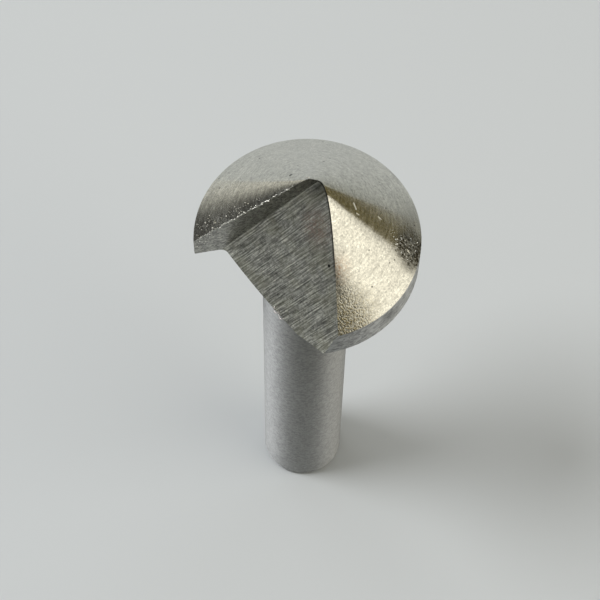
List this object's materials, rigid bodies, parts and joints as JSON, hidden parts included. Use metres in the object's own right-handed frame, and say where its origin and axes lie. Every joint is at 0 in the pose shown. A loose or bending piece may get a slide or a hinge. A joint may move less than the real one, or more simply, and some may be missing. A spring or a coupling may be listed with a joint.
{
  "type": "chamfer milling cutter",
  "caption": "One-piece steel chamfer cutter: a 90 degree cone with one straight ground flute, a cylindrical land under it and a plain round shank.",
  "frame": {"origin": "centre of the flat end of the shank, on the tool axis", "axes": "+Z along the tool axis towards the cutting point; the cutting edge runs from the point towards -X, and the flute opens towards -X and -Y"},
  "size_m": [0.025, 0.025, 0.0697],
  "materials": {
    "ground_tool_steel": "satin ground"
  },
  "bodies": {
    "root": {"chamfer_cutter": "ground_tool_steel"}
  },
  "joints": []
}
